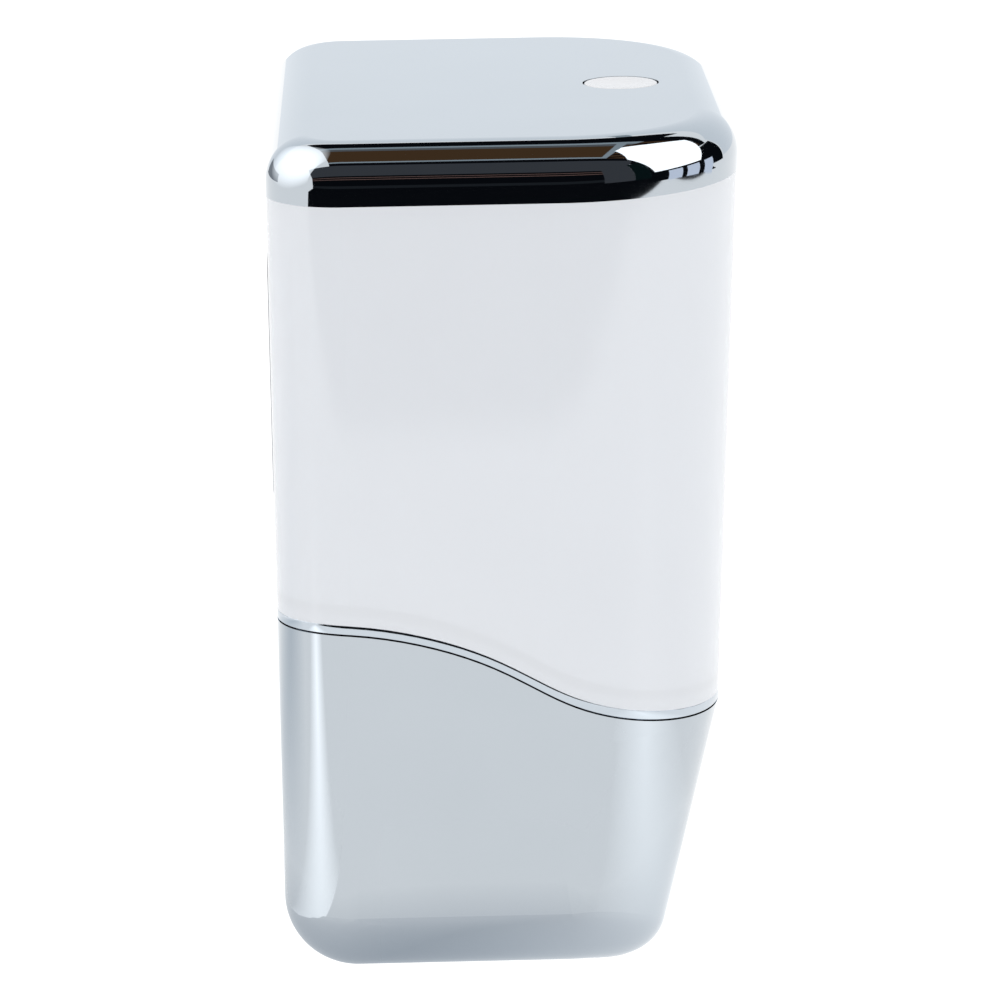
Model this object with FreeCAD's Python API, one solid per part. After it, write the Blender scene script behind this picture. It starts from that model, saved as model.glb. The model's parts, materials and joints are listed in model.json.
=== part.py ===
"""Wall mounted touch-free soap dispenser: bracket, milky tank, chrome base with pump, lift-off lid.

Millimetres, +Z up. X runs left to right, the wall is the plane Y = 0 and the front faces -Y.
Heights are written above the underside of the base and depths as distances out from the wall.
place() turns them into the row frame, whose origin is the middle of the wall-screw pattern.
"""
import FreeCAD, Part
import math
import os

V = FreeCAD.Vector
os.makedirs("parts", exist_ok=True)

# --- Driving dimensions: outer form ---------------------------------------------------------
WIDTH = 138.3
DEPTH = 96.0                # wall to front, at the lid joint
HEIGHT = 173.3
BACK_GAP = 0.5              # body clear of the wall
LID_JOINT = 161.5           # height where lid meets tank
BEND = 49.7                 # height where the front turns inward
BEND_DEPTH = 91.9
FOOT_DEPTH = 77.2           # front of the base at its underside
BACK_CORNER = 15.2          # plan radius of the wall-side corners
FRONT_CORNER = 37.6         # plan radius of the front corners above the bend
FOOT_CORNER = 16.0          # and at the underside
LID_ROUND = 8.8             # radius along the top edge
FOOT_ROUND_BACK = 14.5      # radii along the bottom edge
FOOT_ROUND_SIDE = 14.0
FOOT_ROUND_FRONT = 9.0
SEAM = [(-12, 74.1), (0, 74.1), (15, 73.9), (30, 71.4), (45, 66.0),
        (60, 58.0), (75, 52.9), (90, 49.7), (110, 46.0)]    # (depth, height) of the parting curve

# --- Driving dimensions: walls and fits -----------------------------------------------------
WALL = 2.2
LID_WALL = 2.0
SEAM_GAP = 0.35             # dark line between trim ring and base cover
TRIM_TALL = 2.2             # top of the trim ring above the seam
FLOOR_RISE = 6.0            # tank floor above the seam
SLIDING = 0.3               # clearance between bodies that move past each other
RUNNING = 0.05              # radial clearance of a shaft in its hole
PILOT_R = 1.3               # self-tapping screw and its pilot hole

# --- Driving dimensions: wall bracket -------------------------------------------------------
SCREW_HEIGHT = 114.0        # middle of the wall-screw pattern, the row's origin
SCREW_PITCH_X = 56.0
SCREW_PITCH_Z = 22.0
SCREW_HOLE_R = 2.25
PLATE = 2.0
PLATE_HALF = 40.0
PLATE_LOW = 95.0
PLATE_HIGH = 146.0
HOOK_X = 24.0
HOOK_HALF = 7.0
HOOK_SEAT = 136.0           # the tank's web rests here
HOOK_TIP = 144.0
WEB = 1.6
POCKET_DEPTH = 7.0
POCKET_HALF = 42.0
POCKET_LOW = 84.0
POCKET_HIGH = 150.0

# --- Driving dimensions: lid button and latch -----------------------------------------------
BUTTON_DEPTH = 74.0
BUTTON_HOLE_R = 8.0
BUTTON_TRAVEL = 1.6
BOLT_LOW = 152.5
BOLT_HIGH = 156.5
WEDGE_TALL = 3.9            # sloped end of the button's stem
NOSE_TIP = 90.9             # bolt nose at rest
CATCH_EDGE = 91.0           # the tank's catch lip begins here
CATCH_LOW = 155.5

# --- Driving dimensions: tank outlet, pump and gears ----------------------------------------
OUTLET_DEPTH = 74.0
WELL_R = 15.0
WELL_FLOOR = 56.0
SPIGOT_R = 2.5
TUBE_R = 3.6
TUBE_BEND = 5.0
PORT_HEIGHT = 23.0          # pump inlet height
PUMP_DEPTH = 55.0
ROTOR_MODULE = 1.0
ROTOR_TEETH = 11
ROTOR_X = ROTOR_MODULE * ROTOR_TEETH / 2
GEAR_MODULE = 0.5
PINION_TEETH = 12
IDLER_TEETH = 17
DRIVE_TEETH = 36
IDLER_X = ROTOR_X + GEAR_MODULE * (DRIVE_TEETH + IDLER_TEETH) / 2
MOTOR_X = IDLER_X + GEAR_MODULE * (IDLER_TEETH + PINION_TEETH) / 2
SHAFT_R = 1.5
MOTOR_SHAFT_R = 1.0
MOTOR_R = 10.0
NOZZLE_DEPTH = 48.0
WINDOW_DEPTH = 62.5

# --- Driving dimensions: batteries and door -------------------------------------------------
CELL_R = 7.25
CELL_LENGTH = 50.5
CELL_PITCH = 15.0
CELL_DEPTH = 27.5
CELL_LOW = 5.5
HINGE_DEPTH = 18.9
HINGE_HEIGHT = 1.9
HINGE_PIN_R = 0.75
BARREL_R = 1.6
DOOR_HALF = 33.2
DOOR_FRONT = 37.8
DOOR_OPENING = (16.9, 38.0)

CHASSIS_LOW = 44.0
CHASSIS_HIGH = 46.5
PLATE_GEARS = (34.0, 36.0)  # gearbox plate, low and high
GEAR_LOW = 37.0
GEAR_TALL = 3.5


# --- Helpers --------------------------------------------------------------------------------
def place(shape):
    """Move a shape from heights above the base to the row frame."""
    moved = shape.copy()
    moved.translate(V(0, 0, -SCREW_HEIGHT))
    return moved


def write(name, *solids):
    """Write one node, of one solid or of several separate ones."""
    shape = solids[0] if len(solids) == 1 else Part.makeCompound(list(solids))
    shape = place(shape)
    if not shape.isValid():
        print("NOT VALID", name)
    shape.exportStep("parts/" + name + ".step")
    print(f"{name:22s} {len(shape.Solids)} solid(s)  {shape.Volume / 1000:8.2f} cm3")


def box(x, depth, height):
    """Box between pairs of x, depth and height."""
    corner = V(x[0], -depth[1], height[0])
    return Part.makeBox(x[1] - x[0], depth[1] - depth[0], height[1] - height[0], corner)


def post(x, depth, height, radius):
    """Upright cylinder between a pair of heights."""
    return Part.makeCylinder(radius, height[1] - height[0], V(x, -depth, height[0]))


def tube(x, depth, height, outer, inner):
    """Upright ring."""
    return post(x, depth, height, outer).cut(post(x, depth, height, inner))


def rod_out(x, depth, height, radius):
    """Cylinder that points away from the wall, between a pair of depths."""
    return Part.makeCylinder(radius, depth[1] - depth[0], V(x, -depth[0], height), V(0, -1, 0))


def rod_across(x, depth, height, radius):
    """Cylinder along X, between a pair of x."""
    return Part.makeCylinder(radius, x[1] - x[0], V(x[0], -depth, height), V(1, 0, 0))


def prism(profile, x):
    """Extrude a closed outline of (depth, height) points along X."""
    points = [V(x[0], -depth, height) for depth, height in profile]
    face = Part.Face(Part.makePolygon(points + points[:1]))
    return face.extrude(V(x[1] - x[0], 0, 0))


def union(*shapes):
    """Fuse and clean up."""
    return shapes[0].fuse(list(shapes[1:])).removeSplitter()


def mirrored(places):
    """The same places on both sides of the middle plane."""
    return [(side * x, depth) for side in (1, -1) for x, depth in places]


# --- Outer form -----------------------------------------------------------------------------
def front_at(height):
    """Depth of the front at a height."""
    if height >= BEND:
        return BEND_DEPTH + (DEPTH - BEND_DEPTH) * (height - BEND) / (LID_JOINT - BEND)
    return FOOT_DEPTH + (BEND_DEPTH - FOOT_DEPTH) * height / BEND


def corner_at(height):
    """Plan radius of the front corners at a height."""
    if height >= BEND:
        return FRONT_CORNER
    return FOOT_CORNER + (FRONT_CORNER - FOOT_CORNER) * height / BEND


def outline(height, inset):
    """Plan outline at a height: tight corners at the wall, wider ones at the front."""
    half = WIDTH / 2 - inset
    back = BACK_GAP + inset
    front = front_at(height) - inset
    tight = BACK_CORNER - inset
    wide = corner_at(height) - inset
    corners = [(half - tight, back + tight, tight), (tight - half, back + tight, tight),
               (wide - half, front - wide, wide), (half - wide, front - wide, wide)]
    arcs = []
    for quarter, (x, depth, radius) in enumerate(corners):
        circle = Part.Circle(V(x, -depth, height), V(0, 0, 1), radius)
        arcs.append(Part.ArcOfCircle(circle, quarter * math.pi / 2, (quarter + 1) * math.pi / 2))
    edges = []
    for this, following in zip(arcs, arcs[1:] + arcs[:1]):
        edges.append(this.toShape())
        edges.append(Part.LineSegment(this.EndPoint, following.StartPoint).toShape())
    return Part.Wire(edges)


def form(inset, low, high):
    """The body's solid between two heights, drawn in by an inset."""
    levels = [low] + [BEND] * (low < BEND < high) + [high]
    return Part.makeLoft([outline(level, inset) for level in levels], True, True)


def round_top(shape, height, radius):
    """Round the edges that lie in the plane at a height."""
    edges = [e for e in shape.Edges if abs(e.BoundBox.ZMin - height) < 0.01
             and abs(e.BoundBox.ZMax - height) < 0.01]
    return shape.makeFillet(radius, edges)


def round_foot(shape, height, inset):
    """Round the bottom edge, tighter at the front than at the wall."""
    document = FreeCAD.newDocument()
    source = document.addObject("Part::Feature", "Source")
    source.Shape = shape
    fillet = document.addObject("Part::Fillet", "Rounded")
    fillet.Base = source
    radii = []
    for number, edge in enumerate(shape.Edges, 1):
        if edge.BoundBox.ZMax > height + 0.01:
            continue
        ends = [-vertex.Point.y for vertex in edge.Vertexes]
        rounds = [foot_radius(depth) - inset for depth in ends]
        parameters = [edge.Curve.parameter(vertex.Point) for vertex in edge.Vertexes]
        if parameters[0] > parameters[1]:
            rounds.reverse()
        radii.append((number, rounds[0], rounds[1]))
    fillet.Edges = radii
    document.recompute()
    rounded = fillet.Shape.copy()
    FreeCAD.closeDocument(document.Name)
    return rounded


def foot_radius(depth):
    """Bottom rounding at a depth."""
    if depth < 5:
        return FOOT_ROUND_BACK
    if depth > FOOT_DEPTH - 5:
        return FOOT_ROUND_FRONT
    return FOOT_ROUND_SIDE


def under_seam(lift):
    """Everything below the parting curve, raised by a lift."""
    reach = WIDTH
    points = [V(-reach, -depth, height + lift) for depth, height in SEAM]
    curve = Part.BSplineCurve()
    curve.interpolate(points)
    floor = -40.0
    corners = [points[-1], V(-reach, points[-1].y, floor), V(-reach, points[0].y, floor), points[0]]
    sides = [Part.LineSegment(a, b).toShape() for a, b in zip(corners, corners[1:])]
    face = Part.Face(Part.Wire([curve.toShape()] + sides))
    return face.extrude(V(2 * reach, 0, 0))


# --- Fasteners and gears --------------------------------------------------------------------
def screw(x, depth, head_height, length, up=True, head_r=2.8, head_tall=1.6):
    """Pan-head screw with a cross recess; it points up, or down."""
    head = Part.makeCylinder(head_r, head_tall, V(0, 0, -head_tall))
    rim = [e for e in head.Edges if abs(e.BoundBox.ZMax + head_tall) < 0.01 and e.Length > 1]
    head = head.makeFillet(0.7, rim[:1])
    for angle in (0, 90):
        slot = Part.makeBox(2.6, 0.6, 0.9, V(-1.3, -0.3, -head_tall))
        slot.rotate(V(0, 0, 0), V(0, 0, 1), angle)
        head = head.cut(slot)
    shank = Part.makeCylinder(PILOT_R, length - 1)
    point = Part.makeCone(PILOT_R, 0.5, 1, V(0, 0, length - 1))
    body = union(head, shank, point)
    if not up:
        body.rotate(V(0, 0, 0), V(1, 0, 0), 180)
    body.translate(V(x, -depth, head_height))
    return body


def gear(x, depth, low, tall, module, teeth, turn, bore):
    """Involute spur gear with a tooth centred on the angle turn."""
    pressure = math.radians(25)
    pitch_r = module * teeth / 2
    base_r = pitch_r * math.cos(pressure)
    tip_r = pitch_r + 0.88 * module
    root_r = pitch_r - 1.12 * module
    half_tooth = math.pi / (2 * teeth) - 0.035 * module / pitch_r
    spread = math.tan(pressure) - pressure

    def flank(radius):
        """Half the tooth's angle at a radius."""
        roll = math.acos(min(1.0, base_r / radius))
        return half_tooth + spread - (math.tan(roll) - roll)

    def at(radius, angle):
        return V(radius * math.cos(angle), radius * math.sin(angle), 0)

    start_r = max(root_r, base_r)
    radii = [start_r + (tip_r - start_r) * (step / 5) ** 1.5 for step in range(6)]
    edges = []
    for tooth in range(teeth):
        middle = turn + tooth * 2 * math.pi / teeth
        rising = [at(r, middle - flank(r)) for r in radii]
        falling = [at(r, middle + flank(r)) for r in reversed(radii)]
        next_start = middle + 2 * math.pi / teeth - flank(start_r)
        root = [at(root_r, middle + flank(start_r)),
                at(root_r, middle + math.pi / teeth),
                at(root_r, next_start)]
        for points in (rising, falling):
            curve = Part.BSplineCurve()
            curve.interpolate(points)
            edges.append(curve.toShape())
            if points is rising:
                edges.append(Part.Arc(rising[-1], at(tip_r, middle), falling[0]).toShape())
        if start_r - root_r > 0.001:
            edges.append(Part.LineSegment(falling[-1], root[0]).toShape())
            edges.append(Part.Arc(*root).toShape())
            edges.append(Part.LineSegment(root[2], at(start_r, next_start)).toShape())
        else:
            edges.append(Part.Arc(*root).toShape())
    blank = Part.Face(Part.Wire(edges)).extrude(V(0, 0, tall))
    if bore:
        blank = blank.cut(Part.makeCylinder(bore, tall))
    blank.translate(V(x, -depth, low))
    return blank


def meshed(turn, teeth, mate_teeth, module, direction):
    """Angle of the mate's tooth that meshes with a gear whose tooth is at turn."""
    pitch = math.pi * module
    step = 2 * math.pi / teeth
    offset = (turn - direction + step / 2) % step - step / 2
    arc = offset * module * teeth / 2
    return direction + math.pi - (arc + pitch / 2) / (module * mate_teeth / 2)


def coil(x, depth, height, radius, wire, length, turns, direction):
    """Compression spring along a direction, from its fixed end, with one face for each turn."""
    helix = Part.makeLongHelix(length / turns, length, radius)
    section = Part.Wire(Part.makeCircle(wire, V(radius, 0, 0), V(0, 1, 0)))
    spring = Part.Wire(helix.Edges).makePipeShell([section], True, True)
    spring.Placement = FreeCAD.Placement(V(x, -depth, height), FreeCAD.Rotation(V(0, 0, 1), direction))
    return spring


# --- Wall bracket ---------------------------------------------------------------------------
def make_wall_bracket():
    """Pressed plate that is screwed to the wall, with two upturned hooks."""
    plate = box((-PLATE_HALF, PLATE_HALF), (0, PLATE), (PLATE_LOW, PLATE_HIGH))
    uprights = [e for e in plate.Edges if abs(e.Length - PLATE) < 0.01]
    plate = plate.makeFillet(5.0, uprights)
    inner = PLATE + 2 * 0.4 + WEB
    for side in (-1, 1):
        reach = (side * HOOK_X - HOOK_HALF, side * HOOK_X + HOOK_HALF)
        arm = box(reach, (PLATE, inner + PLATE), (HOOK_SEAT - 3, HOOK_SEAT))
        prong = box(reach, (inner, inner + PLATE), (HOOK_SEAT - 3, HOOK_TIP))
        tip = [e for e in prong.Edges if abs(e.BoundBox.ZMin - HOOK_TIP) < 0.01]
        plate = union(plate, arm, prong.makeFillet(0.6, tip))
    for side in (-1, 1):
        for level in (-1, 1):
            height = SCREW_HEIGHT + level * SCREW_PITCH_Z / 2
            hole = rod_out(side * SCREW_PITCH_X / 2, (-1, PLATE + 1), height, SCREW_HOLE_R)
            plate = plate.cut(hole)
    ribs = [box((-14, 14), (PLATE, PLATE + 1.2), (height, height + 2)) for height in (106, 113, 120)]
    return union(plate, *ribs)


# --- Tank and trim --------------------------------------------------------------------------
TANK_BOSSES = mirrored([(50, 15.5), (46, 66)])


def make_tank():
    """Milky moulded tank: open top, curved floor with a round well, pocket in the back."""
    outer = form(0, 0, LID_JOINT).cut(under_seam(TRIM_TALL))
    room = form(WALL, 2, LID_JOINT + 5)
    tank = outer.cut(room.cut(under_seam(FLOOR_RISE)))
    tank = tank.cut(room.common(under_seam(FLOOR_RISE - WALL)))

    bosses = [post(x, depth, (CHASSIS_HIGH, 80), 3.5) for x, depth in TANK_BOSSES]
    bosses = [boss.common(under_seam(FLOOR_RISE - 1)) for boss in bosses]
    well = post(0, OUTLET_DEPTH, (WELL_FLOOR - WALL, 64), WELL_R + WALL).common(under_seam(FLOOR_RISE))
    spigot = post(0, OUTLET_DEPTH, (47.5, WELL_FLOOR), SPIGOT_R)
    pocket_wall = box((-POCKET_HALF - WALL, POCKET_HALF + WALL), (BACK_GAP, POCKET_DEPTH + WALL),
                      (POCKET_LOW - WALL, POCKET_HIGH + WALL))
    front = front_at(LID_JOINT) - WALL / 2
    catch = prism([(CATCH_EDGE, CATCH_LOW), (CATCH_EDGE, CATCH_LOW + 2), (front, CATCH_LOW + 2),
                   (front, CATCH_LOW - 2.5)], (-7, 7))
    tank = union(tank, *bosses, well.common(form(WALL / 2, 2, LID_JOINT)), spigot, pocket_wall, catch)

    tank = tank.cut(post(0, OUTLET_DEPTH, (WELL_FLOOR, 70), WELL_R))
    tank = tank.cut(post(0, OUTLET_DEPTH, (WELL_FLOOR - 1, WELL_FLOOR), 6.0))
    tank = tank.cut(post(0, OUTLET_DEPTH, (40, 60), 1.6))
    pocket = box((-POCKET_HALF, POCKET_HALF), (-1, POCKET_DEPTH), (POCKET_LOW, POCKET_HIGH))
    web_back = PLATE + 0.4
    web = box((-POCKET_HALF - 1, POCKET_HALF + 1), (web_back, web_back + WEB), (HOOK_SEAT, POCKET_HIGH + 1))
    tank = tank.cut(pocket).fuse(web)
    for x, depth in TANK_BOSSES:
        tank = tank.cut(post(x, depth, (CHASSIS_HIGH - 1, CHASSIS_HIGH + 9), PILOT_R))
    return tank.removeSplitter()


def make_trim_ring():
    """Bright ring between tank and base, with a tongue that locates inside the base cover."""
    band = form(0, 2, LID_JOINT).cut(form(WALL, 1, LID_JOINT + 1))
    band = band.common(under_seam(TRIM_TALL)).cut(under_seam(SEAM_GAP))
    tongue = form(WALL + 0.1, 2, LID_JOINT).cut(form(WALL + 1.5, 1, LID_JOINT + 1))
    tongue = tongue.common(under_seam(TRIM_TALL)).cut(under_seam(-3.0))
    bridge = form(WALL / 2, 2, LID_JOINT).cut(form(WALL + 1.5, 1, LID_JOINT + 1))
    bridge = bridge.common(under_seam(TRIM_TALL)).cut(under_seam(SEAM_GAP))
    return union(band, bridge, tongue)


# --- Base cover -----------------------------------------------------------------------------
BASE_POSTS = mirrored([(47, 26), (47, 52)])


def make_base_cover():
    """Bright base housing: one deep shell with the openings of its underside."""
    outer = round_foot(form(0, 0, 90), 0, 0).common(under_seam(0))
    inner = round_foot(form(WALL, WALL, 90), WALL, WALL)
    cover = outer.cut(inner)
    bosses = [post(x, depth, (1, 5), 5.0) for x, depth in BASE_POSTS]
    ears = [box((side * 33.5, side * 37.5) if side > 0 else (-37.5, -33.5), (16.4, 21.4), (1, 4.2))
            for side in (-1, 1)]
    cover = union(cover, *bosses, *ears)
    for x, depth in BASE_POSTS:
        cover = cover.cut(post(x, depth, (-1, 2.5), 3.3))
        cover = cover.cut(post(x, depth, (0, 6), 1.7))
    cover = cover.cut(box((-33.5, 33.5), DOOR_OPENING, (-1, 6)))
    cover = cover.cut(rod_across((-37, 37), HINGE_DEPTH, HINGE_HEIGHT, HINGE_PIN_R))
    notch = rod_across((-6, 6), DOOR_OPENING[1] + 1.5, -0.9, 2.2)
    cover = cover.cut(notch)
    cover = cover.cut(post(0, NOZZLE_DEPTH, (-1, 3), 4.5))
    dish = Part.makeSphere(16, V(0, -NOZZLE_DEPTH, -14.9))
    cover = cover.cut(dish)
    cover = cover.cut(box((-11.1, 11.1), (WINDOW_DEPTH - 4.1, WINDOW_DEPTH + 4.1), (-1, 3)))
    return cover


# --- Chassis and drive housing --------------------------------------------------------------
GEAR_POSTS = [(-20, 47), (-20, 63), (37, 46.5), (37, 63.5)]
PUMP_CORNERS = [(side * 11.5, PUMP_DEPTH + end * 7.7) for side in (-1, 1) for end in (-1, 1)]
BOX_OUTER = ((-32, 32), (18.2, 36.8))
BOX_INNER = ((-30.8, 30.8), (19.4, 35.6))


def make_chassis():
    """Inner frame under the tank: plate with posts for the cover and for the gearbox plate."""
    chassis = form(WALL + 0.8, CHASSIS_LOW, CHASSIS_HIGH)
    posts = [post(x, depth, (5, CHASSIS_LOW), 3.5) for x, depth in BASE_POSTS]
    stubs = [post(x, depth, (PLATE_GEARS[1], CHASSIS_LOW), 2.8) for x, depth in GEAR_POSTS]
    rails = [box((-37, -30.5), (depth, depth + 3), (34, CHASSIS_LOW)) for depth in (41, 69)]
    chassis = union(chassis, *posts, *stubs, *rails)
    chassis = chassis.cut(box((-32.3, 32.3), (17.9, 37.1), (CHASSIS_LOW - 1, CHASSIS_HIGH + 1)))
    chassis = chassis.cut(post(0, OUTLET_DEPTH, (CHASSIS_LOW - 1, CHASSIS_HIGH + 1), 4.4))
    chassis = chassis.cut(box((-34.7, -32.9), (41.9, 70.1), (30, CHASSIS_LOW + 1)))
    for x, depth in BASE_POSTS:
        chassis = chassis.cut(post(x, depth, (4, 13), PILOT_R))
    for x, depth in GEAR_POSTS:
        chassis = chassis.cut(post(x, depth, (PLATE_GEARS[1] - 1, CHASSIS_LOW), PILOT_R))
    for x, depth in TANK_BOSSES:
        chassis = chassis.cut(post(x, depth, (CHASSIS_LOW - 1, CHASSIS_HIGH + 1), 1.7))
    return chassis


def make_gearbox_plate():
    """Plate that carries the pump and the motor below it and the gears above it."""
    low, high = PLATE_GEARS
    plate = box((-24, 41), (43.0, 67.0), (low, high))
    uprights = [e for e in plate.Edges if abs(e.Length - (high - low)) < 0.01]
    plate = plate.makeFillet(3.0, uprights)
    spacers = [post(x, depth, (31, low), 2.4) for x, depth in PUMP_CORNERS]
    plate = union(plate, *spacers)
    plate = plate.cut(post(ROTOR_X, PUMP_DEPTH, (low - 1, high + 1), SHAFT_R + RUNNING))
    plate = plate.cut(post(MOTOR_X, PUMP_DEPTH, (low - 1, high + 1), 2.2))
    plate = plate.cut(post(IDLER_X, PUMP_DEPTH, (low - 1, high + 1), 1.0))
    for x, depth in GEAR_POSTS:
        plate = plate.cut(post(x, depth, (low - 1, high + 1), 1.7))
    for x, depth in PUMP_CORNERS:
        plate = plate.cut(post(x, depth, (30, high + 1), PILOT_R))
    for depth in (PUMP_DEPTH - 6.5, PUMP_DEPTH + 6.5):
        plate = plate.cut(post(MOTOR_X, depth, (low - 1, high + 1), 1.5))
    return plate


def make_gear_cover():
    """Dust cap over the gears."""
    low = PLATE_GEARS[1]
    cap = box((-7.5, 31.5), (43.7, 66.3), (low, 43.4))
    uprights = [e for e in cap.Edges if abs(e.Length - (43.4 - low)) < 0.01]
    cap = cap.makeFillet(3.0, uprights)
    hollow = box((-6.1, 30.1), (45.1, 64.9), (low - 1, 42.0))
    return cap.cut(hollow)


# --- Pump -----------------------------------------------------------------------------------
def make_pump_housing():
    """Block with two overlapping rotor bores, an inlet chamber and an outlet chamber."""
    block = box((-14.5, 14.5), (44.5, 65.5), (16, 28))
    uprights = [e for e in block.Edges if abs(e.Length - 12) < 0.01]
    block = block.makeFillet(2.5, uprights)
    inlet = rod_out(0, (65, 69.5), PORT_HEIGHT, SPIGOT_R)
    outlet = post(0, NOZZLE_DEPTH, (11, 17), 2.2)
    block = union(block, inlet, outlet)
    for side in (-1, 1):
        block = block.cut(post(side * ROTOR_X, PUMP_DEPTH, (18, 29), 6.6))
    block = block.cut(box((-4, 4), (46.2, 52.5), (18, 29)))
    block = block.cut(box((-4, 4), (57.5, 63.8), (18, 29)))
    block = block.cut(rod_out(0, (60, 70), PORT_HEIGHT, 1.6))
    block = block.cut(post(0, NOZZLE_DEPTH, (10, 20), 1.4))
    block = block.cut(post(ROTOR_X, PUMP_DEPTH, (17, 19), SHAFT_R + RUNNING))
    block = block.cut(post(-ROTOR_X, PUMP_DEPTH, (17, 19), SHAFT_R))
    for x, depth in PUMP_CORNERS:
        block = block.cut(post(x, depth, (15, 29), 1.5))
    return block


def make_pump_cover():
    """Lid of the pump, with the shaft hole."""
    cover = box((-14.5, 14.5), (44.5, 65.5), (28, 31))
    uprights = [e for e in cover.Edges if abs(e.Length - 3) < 0.01]
    cover = cover.makeFillet(2.5, uprights)
    cover = cover.cut(post(ROTOR_X, PUMP_DEPTH, (27, 32), SHAFT_R + RUNNING))
    cover = cover.cut(post(-ROTOR_X, PUMP_DEPTH, (27, 30), SHAFT_R))
    for x, depth in PUMP_CORNERS:
        cover = cover.cut(post(x, depth, (27, 32), 1.5))
    return cover


def make_inlet_tube():
    """Soft tube from the tank's spigot down and round into the pump's inlet."""
    knee = PORT_HEIGHT + TUBE_BEND
    start = V(0, -OUTLET_DEPTH, 53)
    top = V(0, -OUTLET_DEPTH, knee)
    lean = TUBE_BEND * (1 - math.sqrt(0.5))
    middle = V(0, -(OUTLET_DEPTH - lean), PORT_HEIGHT + lean)
    end = V(0, -(OUTLET_DEPTH - TUBE_BEND), PORT_HEIGHT)
    mouth = V(0, -65.8, PORT_HEIGHT)
    path = Part.Wire([Part.LineSegment(start, top).toShape(), Part.Arc(top, middle, end).toShape(),
                      Part.LineSegment(end, mouth).toShape()])
    rings = [Part.Wire(Part.makeCircle(radius, start, V(0, 0, 1))) for radius in (TUBE_R, SPIGOT_R + 0.02)]
    outer, inner = [path.makePipeShell([ring], True, False) for ring in rings]
    return outer.cut(inner)


def make_nozzle():
    """Spout that soap leaves by, flanged onto the inside of the base cover."""
    nose = post(0, NOZZLE_DEPTH, (1.9, 3), 4.2)
    flange = post(0, NOZZLE_DEPTH, (2.2, 4.2), 6.0)
    neck = post(0, NOZZLE_DEPTH, (4.2, 9), 2.2)
    nozzle = union(nose, flange, neck)
    nozzle = nozzle.cut(post(0, NOZZLE_DEPTH, (1, 3.4), 3.2))
    return nozzle.cut(post(0, NOZZLE_DEPTH, (3, 10), 1.4))


def make_nozzle_valve():
    """Rubber duckbill that stops drips."""
    disc = post(0, NOZZLE_DEPTH, (2.4, 3.4), 3.2)
    bill = Part.makeCone(1.1, 2.2, 1.6, V(0, -NOZZLE_DEPTH, 0.8))
    lips = box((-0.6, 0.6), (NOZZLE_DEPTH - 3, NOZZLE_DEPTH + 3), (0.5, 2.6))
    bill = bill.common(union(lips, post(0, NOZZLE_DEPTH, (1.6, 2.6), 3)))
    slit = box((-0.1, 0.1), (NOZZLE_DEPTH - 0.9, NOZZLE_DEPTH + 0.9), (0.5, 3.5))
    return union(disc, bill).cut(slit)


# --- Motor, battery box and electronics -----------------------------------------------------
def make_motor():
    """Small can motor with a front boss, bored for its turning shaft."""
    can = post(MOTOR_X, PUMP_DEPTH, (9, 34), MOTOR_R)
    rims = [e for e in can.Edges if abs(e.BoundBox.ZMax - e.BoundBox.ZMin) < 0.01]
    can = can.makeFillet(1.0, rims)
    boss = post(MOTOR_X, PUMP_DEPTH, (33.5, 35.2), 2.1)
    tail = post(MOTOR_X, PUMP_DEPTH, (7.6, 9.5), 3.5)
    tabs = [box((MOTOR_X + x - 0.3, MOTOR_X + x + 0.3), (53, 57), (5.5, 9.5)) for x in (-6, 6)]
    motor = union(can, boss, tail, *tabs)
    motor = motor.cut(post(MOTOR_X, PUMP_DEPTH, (20, 36), MOTOR_SHAFT_R + RUNNING))
    for depth in (PUMP_DEPTH - 6.5, PUMP_DEPTH + 6.5):
        motor = motor.cut(post(MOTOR_X, depth, (31, 35), PILOT_R))
    return motor


def make_battery_box():
    """Upright pocket for four cells, open towards the door, with a flange on the chassis."""
    pocket = box(*BOX_OUTER, (4.2, 58.2))
    flange = box((-35.5, 35.5), (14.8, 40.2), (CHASSIS_HIGH, CHASSIS_HIGH + 1.8))
    pocket = union(pocket, flange)
    return pocket.cut(box(*BOX_INNER, (3, 57)))


def make_cell(x):
    """One cell with its raised positive end."""
    can = post(x, CELL_DEPTH, (CELL_LOW, CELL_LOW + CELL_LENGTH - 1), CELL_R)
    rims = [e for e in can.Edges if abs(e.BoundBox.ZMax - e.BoundBox.ZMin) < 0.01]
    can = can.makeFillet(0.6, rims)
    tip = post(x, CELL_DEPTH, (CELL_LOW + 40, CELL_LOW + CELL_LENGTH), 2.7)
    return union(can, tip)


def make_circuit_board():
    """Upright control board with its chips and a connector."""
    board = box((-34.6, -33.0), (42, 70), (10, 43))
    chips = [box((-33.0, -31.6), (48, 55), (24, 31)), box((-33.0, -31.8), (60, 64), (18, 22)),
             box((-33.0, -31.9), (50, 53), (13, 15)), box((-33.0, -28.5), (58, 67), (29, 33))]
    caps = [Part.makeCylinder(2.5, 6.5, V(-33.0, -depth, 38), V(1, 0, 0)) for depth in (47, 54)]
    return union(board, *chips, *caps)


def make_sensor_window():
    """Dark lens that the sensor looks through."""
    lens = box((-10.9, 10.9), (WINDOW_DEPTH - 3.9, WINDOW_DEPTH + 3.9), (0.4, 3.2))
    uprights = [e for e in lens.Edges if abs(e.Length - 2.8) < 0.01]
    lens = lens.makeFillet(0.6, uprights)
    flange = box((-12.5, 12.5), (WINDOW_DEPTH - 5.0, WINDOW_DEPTH + 4.6), (2.2, 3.2))
    return union(lens, flange)


def make_sensor_diode(x):
    """One infrared diode with its domed end towards the window."""
    stem = post(x, WINDOW_DEPTH, (4.9, 7.5), 1.5)
    dome = Part.makeSphere(1.5, V(x, -WINDOW_DEPTH, 4.9))
    return union(stem, dome)


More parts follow.
